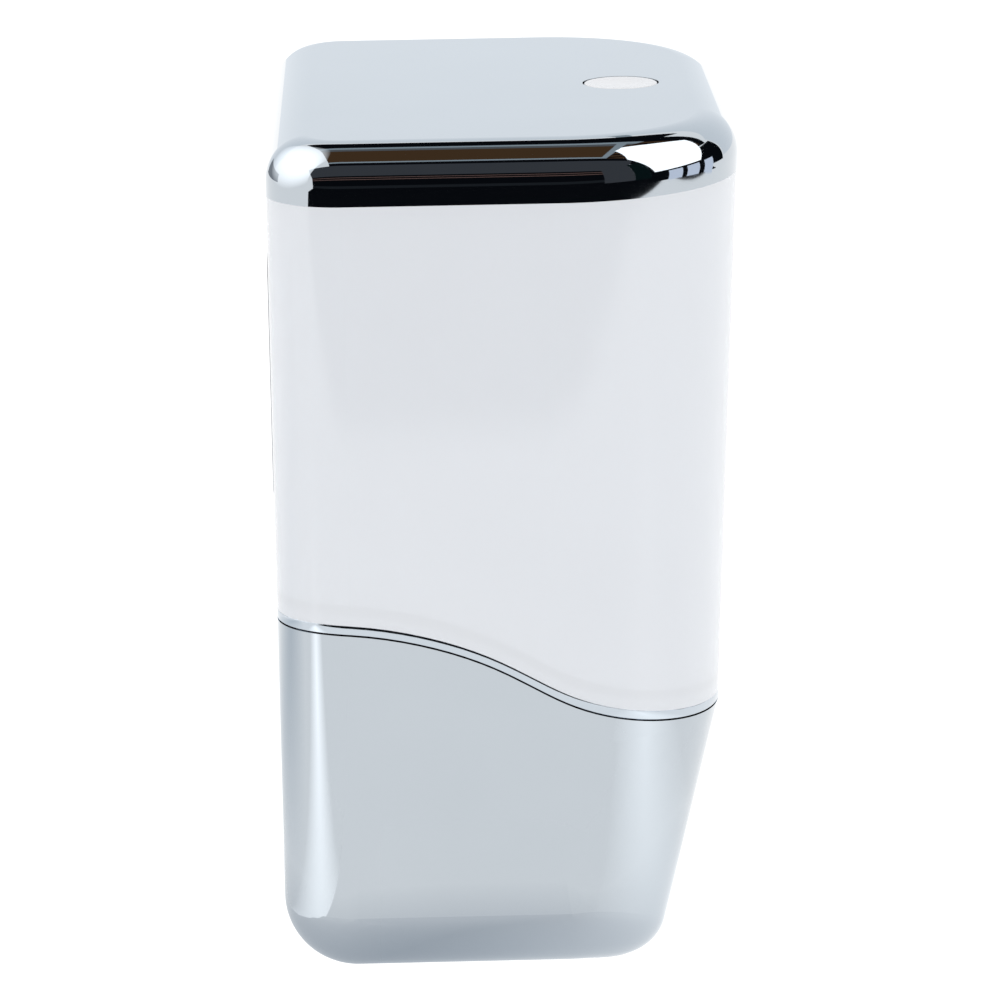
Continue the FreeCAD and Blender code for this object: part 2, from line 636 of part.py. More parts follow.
# --- Battery door ---------------------------------------------------------------------------
def make_battery_door():
    """Flush door on a pin along its wall-side edge."""
    leaf = box((-DOOR_HALF, DOOR_HALF), (HINGE_DEPTH, DOOR_FRONT), (0.2, 2.0))
    barrel = rod_across((-DOOR_HALF, DOOR_HALF), HINGE_DEPTH, HINGE_HEIGHT, BARREL_R)
    fences = [box((side * 30.4 - 0.6, side * 30.4 + 0.6), (22, 34), (1.9, 3.6)) for side in (-1, 1)]
    door = union(leaf, barrel, *fences)
    return door.cut(rod_across((-40, 40), HINGE_DEPTH, HINGE_HEIGHT, HINGE_PIN_R + RUNNING))


def make_door_contacts():
    """Two strips that join the cells in pairs, with a conical pad under each cell."""
    strips = []
    for side in (-1, 1):
        strip = box((side * 15 - 12, side * 15 + 12), (CELL_DEPTH - 4.5, CELL_DEPTH + 4.5), (2.0, 2.5))
        pads = [Part.makeCone(3.8, 2.0, 2.9, V(side * 15 + x, -CELL_DEPTH, 2.5)) for x in (-7.5, 7.5)]
        strips.append(union(strip, *pads))
    return strips


# --- Lid ------------------------------------------------------------------------------------
LID_BOSSES = mirrored([(52, 18), (44, 62)])
HOUSING_BOSSES = [(-15, 70), (15, 70), (-15, 82), (15, 82)]
HOUSING_REACH = (58.0, 90.3)


def make_lid_shell():
    """Bright cap with a rounded top edge and the hole for its button."""
    outer = round_top(form(0, LID_JOINT, HEIGHT), HEIGHT, LID_ROUND)
    ceiling = HEIGHT - LID_WALL
    inner = round_top(form(LID_WALL, LID_JOINT - 1, ceiling), ceiling, LID_ROUND - LID_WALL)
    shell = outer.cut(inner)
    bosses = [post(x, depth, (164, ceiling + 1), 3.5) for x, depth in LID_BOSSES]
    stubs = [post(x, depth, (166, ceiling + 1), 2.4) for x, depth in HOUSING_BOSSES]
    shell = union(shell, *bosses, *stubs)
    shell = shell.cut(post(0, BUTTON_DEPTH, (160, HEIGHT + 1), BUTTON_HOLE_R))
    for x, depth in LID_BOSSES:
        shell = shell.cut(post(x, depth, (163, 170), PILOT_R))
    for x, depth in HOUSING_BOSSES:
        shell = shell.cut(post(x, depth, (165, 170), PILOT_R))
    return shell


def make_lid_liner():
    """Inner closure: a plate with a rim that drops into the tank's mouth."""
    plate = form(LID_WALL + 0.3, 162, 164)
    rim = form(WALL + 0.6, 158.2, 163).cut(form(WALL + 2.2, 157, 162))
    liner = union(plate, rim)
    groove = form(0, 159.2, 161.0).cut(form(WALL + 1.3, 159.2, 161.0))
    liner = liner.cut(groove)
    liner = liner.cut(box((-11.3, 11.3), (HOUSING_REACH[0] - 0.3, HOUSING_REACH[1] + 0.3), (150, 165)))
    for x, depth in LID_BOSSES:
        liner = liner.cut(post(x, depth, (156, 165), 1.7))
    for x, depth in HOUSING_BOSSES:
        liner = liner.cut(post(x, depth, (161, 165), 3.0))
    return liner


def make_lid_gasket():
    """Silicone ring in the rim's groove."""
    return form(WALL + 0.3, 159.3, 160.9).cut(form(WALL + 1.3, 158, 162))


def make_latch_housing():
    """Guide for the latch bolt and for the button's stem."""
    body = box((-11, 11), HOUSING_REACH, (BOLT_LOW - 1.6, 164))
    flange = box((-18, 18), (66.5, 85.5), (164, 166))
    corners = [e for e in flange.Edges if abs(e.Length - 2) < 0.01]
    housing = union(body, flange.makeFillet(2.5, corners))
    channel = box((-8.15, 8.15), (HOUSING_REACH[0] + 1.6, 95), (BOLT_LOW - 0.1, BOLT_HIGH + 0.1))
    stem_hole = box((-3.2, 3.2), (BUTTON_DEPTH - 3.2, BUTTON_DEPTH + 3.2), (BOLT_HIGH, 167))
    spring_seat = post(0, BUTTON_DEPTH, (164.5, 167), 6.2)
    housing = housing.cut(channel).cut(stem_hole).cut(spring_seat)
    for x, depth in HOUSING_BOSSES:
        housing = housing.cut(post(x, depth, (163, 167), 1.5))
    return housing


def make_button():
    """Round dished button with a flange below the lid and a stem that ends in a wedge."""
    cap = post(0, BUTTON_DEPTH, (170.6, HEIGHT), BUTTON_HOLE_R - SLIDING)
    rim = [e for e in cap.Edges if abs(e.BoundBox.ZMin - HEIGHT) < 0.01]
    cap = cap.makeFillet(0.35, rim)
    dish_r = 44.0
    dish = Part.makeSphere(dish_r, V(0, -BUTTON_DEPTH, HEIGHT + dish_r - 0.5))
    flange = post(0, BUTTON_DEPTH, (169.9, 171.1), 9.0)
    back = BUTTON_DEPTH - 3
    front = BUTTON_DEPTH + 3
    tip = BOLT_LOW + BUTTON_TRAVEL
    stem = prism([(back, 170), (back, tip + WEDGE_TALL), (back + WEDGE_TALL, tip), (front, tip),
                  (front, 170)], (-3, 3))
    return union(cap.cut(dish), flange, stem)


def make_latch_bolt():
    """Sliding bolt; the stem's wedge draws its sloped window back from the catch."""
    back = 67.0
    tip = BOLT_LOW + BUTTON_TRAVEL
    ramp = BUTTON_DEPTH - 3 + WEDGE_TALL + tip - 0.1     # depth plus height along the slope
    window = [(ramp - BOLT_HIGH - 1, BOLT_HIGH + 1), (ramp - BOLT_LOW + 1, BOLT_LOW - 1),
              (BUTTON_DEPTH + 5.2, BOLT_LOW - 1), (BUTTON_DEPTH + 5.2, BOLT_HIGH + 1)]
    bar = box((-8, 8), (back, BUTTON_DEPTH + 9), (BOLT_LOW, BOLT_HIGH))
    nose = [(BUTTON_DEPTH + 9, BOLT_LOW), (BUTTON_DEPTH + 9, BOLT_HIGH - 1.4),
            (NOSE_TIP, BOLT_HIGH - 1.4), (NOSE_TIP, BOLT_LOW + 1.4), (NOSE_TIP - 1.4, BOLT_LOW)]
    bolt = union(bar, prism(nose, (-5, 5)))
    return bolt.cut(prism(window, (-4, 4)))


# --- Build ----------------------------------------------------------------------------------
write("wall_bracket", make_wall_bracket())

write("tank", make_tank())
write("tank_trim_ring", make_trim_ring())
write("base_cover", make_base_cover())
write("chassis", make_chassis())
write("tank_outlet_seal", tube(0, OUTLET_DEPTH, (WELL_FLOOR - 1, WELL_FLOOR), 6.0, 2.4))
strainer = post(0, OUTLET_DEPTH, (WELL_FLOOR, WELL_FLOOR + 1.2), 9.0)
for ring, count in ((0, 1), (3.2, 6), (6.2, 12)):
    for step in range(count):
        swing = 2 * math.pi * step / count
        hole_x = ring * math.cos(swing)
        hole_depth = OUTLET_DEPTH + ring * math.sin(swing)
        strainer = strainer.cut(post(hole_x, hole_depth, (WELL_FLOOR - 1, WELL_FLOOR + 2), 0.8))
write("outlet_strainer", strainer)
write("inlet_tube", make_inlet_tube())
write("pump_housing", make_pump_housing())
write("pump_cover", make_pump_cover())
write("pump_screws", *[screw(x, depth, 16, 18, head_r=2.4) for x, depth in PUMP_CORNERS])
write("outlet_sleeve", tube(0, NOZZLE_DEPTH, (5, 15.5), 3.4, 2.2))
write("nozzle", make_nozzle())
write("nozzle_valve", make_nozzle_valve())
write("gearbox_plate", make_gearbox_plate())
write("gear_cover", make_gear_cover())
write("gearbox_screws", *[screw(x, depth, PLATE_GEARS[0], 8) for x, depth in GEAR_POSTS])
write("motor", make_motor())
write("motor_screws", *[screw(MOTOR_X, PUMP_DEPTH + end * 6.5, PLATE_GEARS[1], 4.5, up=False,
                              head_r=1.9, head_tall=1.2) for end in (-1, 1)])
write("idler_pin", post(IDLER_X, PUMP_DEPTH, (PLATE_GEARS[0], 41.6), 1.0))
write("battery_box", make_battery_box())
cell_places = [(number - 1.5) * CELL_PITCH for number in range(4)]
write("batteries", *[make_cell(x) for x in cell_places])
write("battery_contacts", *[box((side * 15 - 12, side * 15 + 12), (CELL_DEPTH - 4.5, CELL_DEPTH + 4.5),
                                (CELL_LOW + CELL_LENGTH, CELL_LOW + CELL_LENGTH + 0.6))
                            for side in (-1, 1)])
write("circuit_board", make_circuit_board())
write("sensor_window", make_sensor_window())
write("sensor_board", box((-12, 12), (WINDOW_DEPTH - 5, WINDOW_DEPTH + 5), (7.5, 8.9)))
write("ir_sensors", *[make_sensor_diode(x) for x in (-6, 6)])
write("chassis_screws", *[screw(x, depth, CHASSIS_LOW, 9) for x, depth in TANK_BOSSES])
write("base_screws", *[screw(x, depth, 2.5, 9) for x, depth in BASE_POSTS])
write("door_hinge_pin", rod_across((-37, 37), HINGE_DEPTH, HINGE_HEIGHT, HINGE_PIN_R))

write("battery_door", make_battery_door())
write("door_contacts", *make_door_contacts())

drive_turn = 0.0
idler_turn = meshed(drive_turn, DRIVE_TEETH, IDLER_TEETH, GEAR_MODULE, 0)
pinion_turn = meshed(idler_turn, IDLER_TEETH, PINION_TEETH, GEAR_MODULE, 0)
rotor_turn = meshed(drive_turn, ROTOR_TEETH, ROTOR_TEETH, ROTOR_MODULE, math.pi)
write("drive_gear", gear(ROTOR_X, PUMP_DEPTH, GEAR_LOW, GEAR_TALL, GEAR_MODULE, DRIVE_TEETH,
                         drive_turn, SHAFT_R))
write("drive_shaft", post(ROTOR_X, PUMP_DEPTH, (17.1, 41.4), SHAFT_R))
write("pump_drive_rotor", gear(ROTOR_X, PUMP_DEPTH, 18.1, 9.8, ROTOR_MODULE, ROTOR_TEETH,
                               drive_turn, SHAFT_R))
write("pump_idler_pin", post(-ROTOR_X, PUMP_DEPTH, (17, 30), SHAFT_R))
write("pump_idler_rotor", gear(-ROTOR_X, PUMP_DEPTH, 18.1, 9.8, ROTOR_MODULE, ROTOR_TEETH,
                               rotor_turn, SHAFT_R + RUNNING))
write("idler_gear", gear(IDLER_X, PUMP_DEPTH, GEAR_LOW, GEAR_TALL, GEAR_MODULE, IDLER_TEETH,
                         idler_turn, 1.0 + RUNNING))
write("motor_shaft", post(MOTOR_X, PUMP_DEPTH, (20.5, 41.4), MOTOR_SHAFT_R))
write("motor_pinion", gear(MOTOR_X, PUMP_DEPTH, GEAR_LOW, GEAR_TALL, GEAR_MODULE, PINION_TEETH,
                           pinion_turn, MOTOR_SHAFT_R))

write("lid_shell", make_lid_shell())
write("lid_liner", make_lid_liner())
write("lid_gasket", make_lid_gasket())
write("latch_housing", make_latch_housing())
write("lid_screws", *[screw(x, depth, 162, 7) for x, depth in LID_BOSSES])
write("latch_screws", *[screw(x, depth, 164, 5.5, head_r=2.2, head_tall=1.3)
                        for x, depth in HOUSING_BOSSES])
write("lid_button", make_button())
write("button_spring", coil(0, BUTTON_DEPTH, 164.9, 4.9, 0.4, 4.5, 3, V(0, 0, 1)))
write("latch_bolt", make_latch_bolt())
write("latch_spring", coil(0, HOUSING_REACH[0] + 1.9, (BOLT_LOW + BOLT_HIGH) / 2, 1.5, 0.25, 4.8, 6,
                           V(0, -1, 0)))
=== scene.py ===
# %% [markdown]
# # A wall mounted soap dispenser in bright plating and milky plastic
# The mechanism comes from CAD: every screw, gear and spring already lies in the frame that is
# loaded here. Blender's work is the skin that people see, its finishes, and the light.

# %% Load the frame
import bpy
import json
import math
from mathutils import Matrix, Vector

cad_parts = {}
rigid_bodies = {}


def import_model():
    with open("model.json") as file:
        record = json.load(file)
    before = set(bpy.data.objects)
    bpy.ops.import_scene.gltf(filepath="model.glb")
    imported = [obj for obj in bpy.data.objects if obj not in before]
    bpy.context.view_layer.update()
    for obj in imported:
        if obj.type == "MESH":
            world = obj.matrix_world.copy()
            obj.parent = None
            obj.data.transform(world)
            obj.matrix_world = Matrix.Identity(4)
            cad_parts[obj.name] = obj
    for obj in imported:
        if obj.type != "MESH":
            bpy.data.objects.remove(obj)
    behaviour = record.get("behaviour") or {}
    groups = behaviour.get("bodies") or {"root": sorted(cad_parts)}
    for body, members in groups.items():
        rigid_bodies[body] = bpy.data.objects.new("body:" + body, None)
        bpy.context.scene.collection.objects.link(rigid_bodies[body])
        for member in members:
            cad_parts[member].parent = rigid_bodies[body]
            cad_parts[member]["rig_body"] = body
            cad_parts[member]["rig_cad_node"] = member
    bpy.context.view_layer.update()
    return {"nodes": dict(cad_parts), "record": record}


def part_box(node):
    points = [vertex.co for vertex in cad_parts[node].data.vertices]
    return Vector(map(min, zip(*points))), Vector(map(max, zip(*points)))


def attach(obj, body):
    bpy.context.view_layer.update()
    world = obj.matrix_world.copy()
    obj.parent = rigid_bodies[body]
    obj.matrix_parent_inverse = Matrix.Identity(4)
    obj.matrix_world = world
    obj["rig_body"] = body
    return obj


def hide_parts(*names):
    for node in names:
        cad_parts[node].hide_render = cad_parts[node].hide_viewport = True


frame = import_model()
NODES = frame["nodes"]
for plain in list(bpy.data.materials):
    plain.name = "cad_" + plain.name        # the CAD's flat colours leave their names to the finishes

# %% [markdown]
# ## The sizes that the skin is drawn from
# A few driving sizes are read from the CAD boxes, so that the skin always fits the mechanism.
# Depth is counted out from the wall, which is the plane Y = 0, and height up from the base's foot.

# %% Sizes
MM = 0.001
lid_low, lid_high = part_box("lid_shell")
base_low, base_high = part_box("base_cover")
FLOOR = base_low.z
HALF = base_high.x
MIDDLE = Vector((0, (lid_low.y + lid_high.y) / 2, (FLOOR + lid_high.z) / 2))
print("floor", round(FLOOR, 4), "half width", round(HALF, 4))

# %% [markdown]
# ## The camera
# A long lens from the dispenser's left side, a little above it, looking along the wall. The three
# directions of the camera are given as its axes, which sets its roll as well as its aim.

# %% Camera
lens = bpy.data.cameras.new("side_camera")
camera = bpy.data.objects.new("side_camera", lens)
bpy.context.scene.collection.objects.link(camera)
bpy.context.scene.camera = camera
lens.sensor_width = 36.0
lens.lens = 171.4
lens.clip_start = 0.05
lens.clip_end = 50.0
camera_right = Vector((-0.02646, -0.99954, -0.01459))
camera_up = Vector((0.25454, -0.02085, 0.96684))
axes = Matrix((camera_right, camera_up, camera_right.cross(camera_up))).transposed()
camera.matrix_world = Matrix.Translation((-0.98599, -0.02510, 0.22945)) @ axes.to_4x4()
print("camera", [round(value, 3) for value in camera.location])

# %% [markdown]
# ## A small language for shaders
# Node trees are easier to read as sums. Socket wraps one output, and each operator on it adds a
# Math node. Finish is one material: it makes nodes by type, mixes colours and adds bumps.

# %% Socket
class Socket:
    """One output of a node, with operators that add Math nodes."""

    def __init__(self, tree, out):
        self.tree = tree
        self.out = out

    def maths(self, operation, other):
        node = self.tree.nodes.new("ShaderNodeMath")
        node.operation = operation
        for slot, value in enumerate((self, other)):
            if isinstance(value, Socket):
                self.tree.links.new(value.out, node.inputs[slot])
            else:
                node.inputs[slot].default_value = value
        return Socket(self.tree, node.outputs[0])

    def __add__(self, other):
        return self.maths("ADD", other)

    def __mul__(self, other):
        return self.maths("MULTIPLY", other)

    def above(self, other):
        """1 where the value is above another, else 0."""
        return self.maths("GREATER_THAN", other)

    def below(self, other):
        """1 where the value is below another, else 0."""
        return self.maths("LESS_THAN", other)

    __radd__ = __add__
    __rmul__ = __mul__


print("sockets ready")

# %% [markdown]
# A finish reads its pattern at the object's own coordinates and drives the sockets of one
# Principled shader. What stays the same all over the surface is set as a plain value.

# %% Finish
class Finish:
    """A material and its one Principled shader."""

    def __init__(self, name, **constants):
        self.material = bpy.data.materials.new(name)
        self.material.use_nodes = True
        self.tree = self.material.node_tree
        self.shader = self.tree.nodes["Principled BSDF"]
        for socket, value in constants.items():
            self.shader.inputs[socket.replace("_", " ")].default_value = value

    def node(self, kind, settings=(), out=0, **sockets):
        """Add a node: its settings first, then the values or links of its sockets."""
        node = self.tree.nodes.new(kind)
        for key, value in dict(settings).items():
            setattr(node, key, value)
        for key, value in sockets.items():
            numbered = key[1:].isdigit()
            socket = node.inputs[int(key[1:])] if numbered else node.inputs[key.replace("_", " ")]
            if isinstance(value, Socket):
                self.tree.links.new(value.out, socket)
            else:
                socket.default_value = value
        return Socket(self.tree, node.outputs[out])

    def place(self, axis=None):
        """Object coordinates, or one axis of them."""
        where = self.node("ShaderNodeTexCoord", out=3)
        if axis is None:
            return where
        return self.node("ShaderNodeSeparateXYZ", out="xyz".index(axis), Vector=where)

    def noise(self, scale, detail=2.0, stretch=(1, 1, 1)):
        """Noise in cycles per metre, stretched along an axis if asked."""
        spread = self.node("ShaderNodeMapping", Vector=self.place(), Scale=stretch)
        return self.node("ShaderNodeTexNoise", Vector=spread, Scale=scale, Detail=detail)

    def blend(self, mask, low, high):
        """Mix two colours by a mask."""
        return self.node("ShaderNodeMix", {"data_type": "RGBA"}, out=2, i0=mask, i6=low, i7=high)

    def bump(self, height, depth):
        """Bump of a depth in metres."""
        return self.node("ShaderNodeBump", Height=height, Distance=depth, Strength=1.0)

    def drive(self, **sockets):
        """Link values into the shader."""
        for key, value in sockets.items():
            self.tree.links.new(value.out, self.shader.inputs[key.replace("_", " ")])
        return self


print("finish ready")

# %% [markdown]
# ## The stage
# A pale floor and an even white surround light the object. Bright plating shows whatever stands
# round it, so the room needs things to reflect: a dim room past the edge of the floor with a timber
# ceiling, a large softbox at the front, a soft lamp at the wall side, and three lit panes.
# Each is a flat card that only mirror reflections see, so none of them shades the object or stands
# in the way of another view. Lamps alone would leave the plating looking like grey paint.

# %% Stage helpers
def glow(name, colour, strength=1.0, centre=None, reach=None, turn=0.0):
    """A glowing surface for a card. With a centre it fades out to nothing at its reach."""
    material = bpy.data.materials.new(name)
    material.use_nodes = True
    tree = material.node_tree
    tree.nodes.clear()
    light = tree.nodes.new("ShaderNodeEmission")
    light.inputs["Color"].default_value = (*colour, 1)
    light.inputs["Strength"].default_value = strength
    end = tree.nodes.new("ShaderNodeOutputMaterial")
    if centre is None:
        tree.links.new(light.outputs[0], end.inputs[0])
        return material
    place = tree.nodes.new("ShaderNodeTexCoord")
    spread = tree.nodes.new("ShaderNodeMapping")
    spread.vector_type = "TEXTURE"
    spread.inputs["Location"].default_value = centre
    spread.inputs["Rotation"].default_value = (0, 0, turn)
    spread.inputs["Scale"].default_value = reach
    fade = tree.nodes.new("ShaderNodeTexGradient")
    fade.gradient_type = "SPHERICAL"
    clear = tree.nodes.new("ShaderNodeBsdfTransparent")
    mix = tree.nodes.new("ShaderNodeMixShader")
    tree.links.new(place.outputs["Object"], spread.inputs["Vector"])
    tree.links.new(spread.outputs[0], fade.inputs["Vector"])
    tree.links.new(fade.outputs["Fac"], mix.inputs[0])
    tree.links.new(clear.outputs[0], mix.inputs[1])
    tree.links.new(light.outputs[0], mix.inputs[2])
    tree.links.new(mix.outputs[0], end.inputs[0])
    return material


def card(name, corners, material):
    """A flat card through four corners that only mirror reflections see."""
    bpy.ops.object.select_all(action="DESELECT")
    bpy.ops.mesh.primitive_plane_add(size=1)
    made = bpy.context.object
    made.name = name
    for vertex, corner in zip((0, 1, 3, 2), corners):
        made.data.vertices[vertex].co = corner
    made.data.materials.append(material)
    made.visible_camera = False
    made.visible_diffuse = False
    made.visible_transmission = False
    made.visible_volume_scatter = False
    made.visible_shadow = False


def floor_card(name, x, y, height, material):
    """A rectangular card flat on the floor, from its spans across and in depth."""
    card(name, [Vector((x[0], y[0], height)), Vector((x[1], y[0], height)),
                Vector((x[1], y[1], height)), Vector((x[0], y[1], height))], material)


EYE = Vector((-HALF, MIDDLE.y, lid_low.z))      # the spot on the lid that the room is laid out round


def towards(azimuth, elevation, distance):
    """A point seen from the lid's side: azimuth 0 is the camera's side and 90 the front."""
    a = math.radians(azimuth)
    e = math.radians(elevation)
    return EYE + distance * Vector((-math.cos(a) * math.cos(e), -math.sin(a) * math.cos(e), math.sin(e)))


print("stage helpers ready")

# %% [markdown]
# ### Floor and surround
# The floor lights the object from below. The camera looks through it to the surround, which is just
# as white, so that the underside can be looked at too.

# %% Floor and surround
WORLD_LIGHT = 1.20
bpy.ops.object.select_all(action="DESELECT")
bpy.ops.mesh.primitive_plane_add(size=9, location=(0, 0, FLOOR - 0.2 * MM))
floor = bpy.context.object
floor.name = "floor"
pale = Finish("pale_floor", Base_Color=(0.2, 0.2, 0.2, 1), Roughness=0.9, Specular_IOR_Level=0.0,
              Emission_Color=(1, 1, 1, 1), Emission_Strength=0.96)
floor.data.materials.append(pale.material)
floor.visible_camera = False
surround = bpy.data.worlds.new("studio")
bpy.context.scene.world = surround
surround.use_nodes = True
surround.node_tree.nodes["Background"].inputs["Color"].default_value = (1, 1, 1, 1)
surround.node_tree.nodes["Background"].inputs["Strength"].default_value = WORLD_LIGHT
bpy.context.scene.view_settings.view_transform = "Standard"
print("floor at", round(floor.location.z, 4))

# %% [markdown]
# ### The dim room
# The side of the lid leans neither in nor out, so it mirrors the far floor and the wall behind the
# camera, and its rounded edge squeezes the whole ceiling into a few bands. The room is a ring of
# strips round the line of the lid, each at its own elevation, which is the shortest way to place a
# band where it has to show.

# %% The dim room
dark = glow("dark_room", (0.004, 0.005, 0.007))
smoke = glow("smoke_glass", (0.018, 0.021, 0.025))
slate = glow("slate_wall", (0.062, 0.066, 0.075))
green = glow("deep_green_wall", (0.004, 0.011, 0.012))
timber = glow("timber_ceiling", (0.088, 0.047, 0.022))
rail = glow("copper_rail", (0.22, 0.13, 0.11))
haze = glow("pale_beam", (0.36, 0.42, 0.46))
mist = glow("grey_beam", (0.13, 0.14, 0.15))
lit = glow("lit_pane", (0.80, 0.86, 1.0), 1.15)
BEYOND = FLOOR + MM
near_edge = -0.535                  # the pale floor ends here, on the camera's side
front_edge = -0.80                  # and here, in front
card("floor_beyond_side", [Vector((near_edge, -0.60, BEYOND)), Vector((-6, -6, BEYOND)),
                           Vector((-6, 5.4, BEYOND)), Vector((near_edge, 0.62, BEYOND))], dark)
card("floor_beyond_corner", [Vector((near_edge, -0.60, BEYOND)), Vector((-0.30, -0.84, BEYOND)),
                             Vector((-1.6, -6, BEYOND)), Vector((-6, -6, BEYOND))], dark)
card("floor_beyond_front", [Vector((-0.30, -0.84, BEYOND)), Vector((0.36, front_edge, BEYOND)),
                            Vector((1.6, -6, BEYOND)), Vector((-1.6, -6, BEYOND))], dark)
BANDS = [((-16, -9.5), dark), ((-9.5, -3), smoke), ((-3, -1.5), dark), ((-1.5, 5), smoke),
         ((5, 21), dark), ((21, 22.4), rail), ((22.4, 26), dark), ((26, 27.2), rail),
         ((27.2, 31), dark), ((31, 59), slate), ((59, 66), dark), ((66, 69.5), haze),
         ((69.5, 104), timber), ((104, 111), mist), ((111, 117), haze), ((117, 137), dark)]
REACH = 3.0
for number, (elevations, material) in enumerate(BANDS):
    low, high = [math.radians(angle) for angle in elevations]
    right_side = -2.5 if elevations[0] < 66 else -1.25
    left_side = 2.9 if elevations[0] < 59 else 0.85
    corners = []
    for angle, sides in ((low, (right_side, left_side)), (high, (left_side, right_side))):
        for side in sides:
            corners.append(EYE + Vector((-REACH * math.cos(angle), side, REACH * math.sin(angle))))
    card(f"room_band_{number}", corners, material)
print("bands", len(BANDS))

# %% [markdown]
# ### The front of the room and its lamps
# The front corner of the lid turns through a quarter circle, so it mirrors the room from the
# camera's side right round to the front: a slate screen, a deep green wall, then three lit panes
# standing in a dark wall, with the softbox over them and timber beams beside it.

# %% Front of the room
def screen(name, azimuths, elevations, distance, material):
    """An upright card between two azimuths and two elevations."""
    low, high = elevations
    corners = [towards(azimuths[0], low, distance), towards(azimuths[1], low, distance),
               towards(azimuths[1], high, distance), towards(azimuths[0], high, distance)]
    card(name, corners, material)


screen("slate_screen", (30, 50), (-14, 40), 2.4, slate)
screen("green_screen", (50, 61), (-14, 34), 2.4, green)
screen("black_screen", (61, 92), (-14, 30), 2.4, dark)
screen("black_screen_front", (92, 128), (-14, 24), 2.3, dark)
for azimuths in ((75, 86), (90, 101), (106, 115)):
    screen(f"pane_{azimuths[0]}", azimuths, (-16, 5.5), 0.83, lit)
front_y = EYE.y - 1.15
softbox = glow("softbox_cloth", (1, 1, 1), 2.3)
card("softbox_low", [Vector((-0.62, front_y, 0.215)), Vector((0.20, front_y, 0.215)),
                     Vector((0.80, front_y, 1.25)), Vector((-0.78, front_y, 1.45))], softbox)
card("softbox_high", [Vector((-0.78, front_y, 1.45)), Vector((0.80, front_y, 1.25)),
                      Vector((0.45, front_y, 2.7)), Vector((0.05, front_y, 3.3))], softbox)
for step in range(7):
    x = -1.55 + 0.42 * step
    card(f"beam_{step}", [Vector((x, -1.2, 2.9)), Vector((x + 0.22, -1.2, 2.9)),
                          Vector((x + 1.3, -4.2, 2.6)), Vector((x + 1.0, -4.2, 2.6))], timber)
card("beams_backing", [Vector((-2.6, -1.1, 3.1)), Vector((2.2, -1.1, 3.1)),
                       Vector((3.2, -5.0, 2.8)), Vector((-2.6, -5.0, 2.8))], dark)
card("lamp_tube", [Vector((-1.6, -1.42, 2.8)), Vector((-1.6, -1.24, 2.8)),
                   Vector((5.0, -0.40, 2.8)), Vector((5.0, -0.56, 2.8))], haze)

# %% [markdown]
# ### The soft lamp, and painted light and shade on the floor
# At the wall side one lamp shines through cloth, so its edge is soft: the card's glow fades out from
# its centre. Light on the floor is painted as glowing patches that only mirror reflections see: a
# fading, painted pool of light on each side makes the floor brighter beside the object than in front
# of it, which gives the base its two light corners. A darker patch under its foot is a painted
# shadow of the object, and a darker one by the wall is painted shade. A grey sky behind keeps the
# lid's top down.

# %% Soft lamp and patches
lamp_at = towards(-97, 36, 1.1)
lamp = glow("lamp_cloth", (1, 1, 1), 3.2, lamp_at, (0.95, 0.95, 0.80))
card("wall_lamp", [towards(-55, -8, 1.45), towards(-150, -8, 1.45), towards(-160, 70, 1.3),
                   towards(-55, 70, 1.3)], lamp)
side_grey = glow("wall_side_shade", (0.30, 0.32, 0.35))
screen("side_shade", (-112, -150), (-16, 8), 2.6, side_grey)
# A painted pool of light on the floor at the wall side, fading out, seen only in reflections.
painted_light_pool_wall = glow("painted_light_pool_wall", (1, 1, 1), 1.95, (-0.175, 0.165, FLOOR), (0.045, 0.42, 1),
                  math.radians(33))
floor_card("floor_painted_light_pool_wall", (-0.60, 0.02), (0.02, 0.60), BEYOND, painted_light_pool_wall)
# A painted pool of light on the floor in front, fading out, seen only in reflections.
painted_light_pool_front = glow("painted_light_pool_front", (1, 1, 1), 1.60, (-0.135, -0.250, FLOOR), (0.070, 0.40, 1),
                   math.radians(-31))
floor_card("floor_painted_light_pool_front", (-0.45, 0.08), (-0.62, -0.02), BEYOND, painted_light_pool_front)
# Painted shade on the floor by the wall, seen only in reflections.
wall_shade = glow("wall_shade", (0.78, 0.83, 0.88), 1.0, (0.01, 0.29, FLOOR), (0.13, 0.50, 1),
                  math.radians(12))
floor_card("floor_by_wall", (-0.30, 0.20), (0.02, 0.70), BEYOND + MM, wall_shade)
# The object's painted shadow on the floor under its foot, seen only in reflections.
contact = glow("contact_shade", (0.40, 0.46, 0.53), 1.0, (-0.045, -0.045, FLOOR), (0.085, 0.105, 1))
floor_card("floor_contact", (-0.17, 0.06), (-0.19, 0.08), FLOOR - 0.1 * MM, contact)
grey_sky = glow("grey_sky", (0.91, 0.955, 1.0), 1.06)
card("sky_behind", [Vector((4, -5, -0.05)), Vector((4, 5, -0.05)),
                    Vector((4, 5, 3.3)), Vector((4, -5, 3.3))], grey_sky)

# %% [markdown]
# ## Finishes
# Every part gets the finish that its material slot in the record asks for. Each is built from
# Object coordinates, in metres, so its grain has a real size: noise at 60 cycles to the metre is a
# slow wave in a moulding, and at 5000 it is the spark-eroded grain of a tool.

# %% Bright plating and trim
plating = Finish("bright_plating", Metallic=1.0)
cloud = plating.noise(38.0, 3.0)
plating.drive(Base_Color=plating.blend(cloud, (0.462, 0.502, 0.540, 1), (0.486, 0.526, 0.564, 1)),
              Roughness=cloud * 0.016 + 0.026,
              Normal=plating.bump(plating.noise(55.0, 1.0), 2.5e-6))
trim = Finish("trim_plating", Metallic=1.0)
cloud = trim.noise(60.0, 3.0)
trim.drive(Base_Color=trim.blend(cloud, (0.49, 0.54, 0.59, 1), (0.53, 0.58, 0.63, 1)),
           Roughness=cloud * 0.03 + 0.05)

# %% [markdown]
# ### The milky tank
# The tank is clouded polypropylene with a polished skin: light soaks in, so its far edge and the
# soap well only just show. A share of transmission does that without the noise of a real volume.
# Slow clouds change its colour and gloss a little, as the flow of the moulding does.

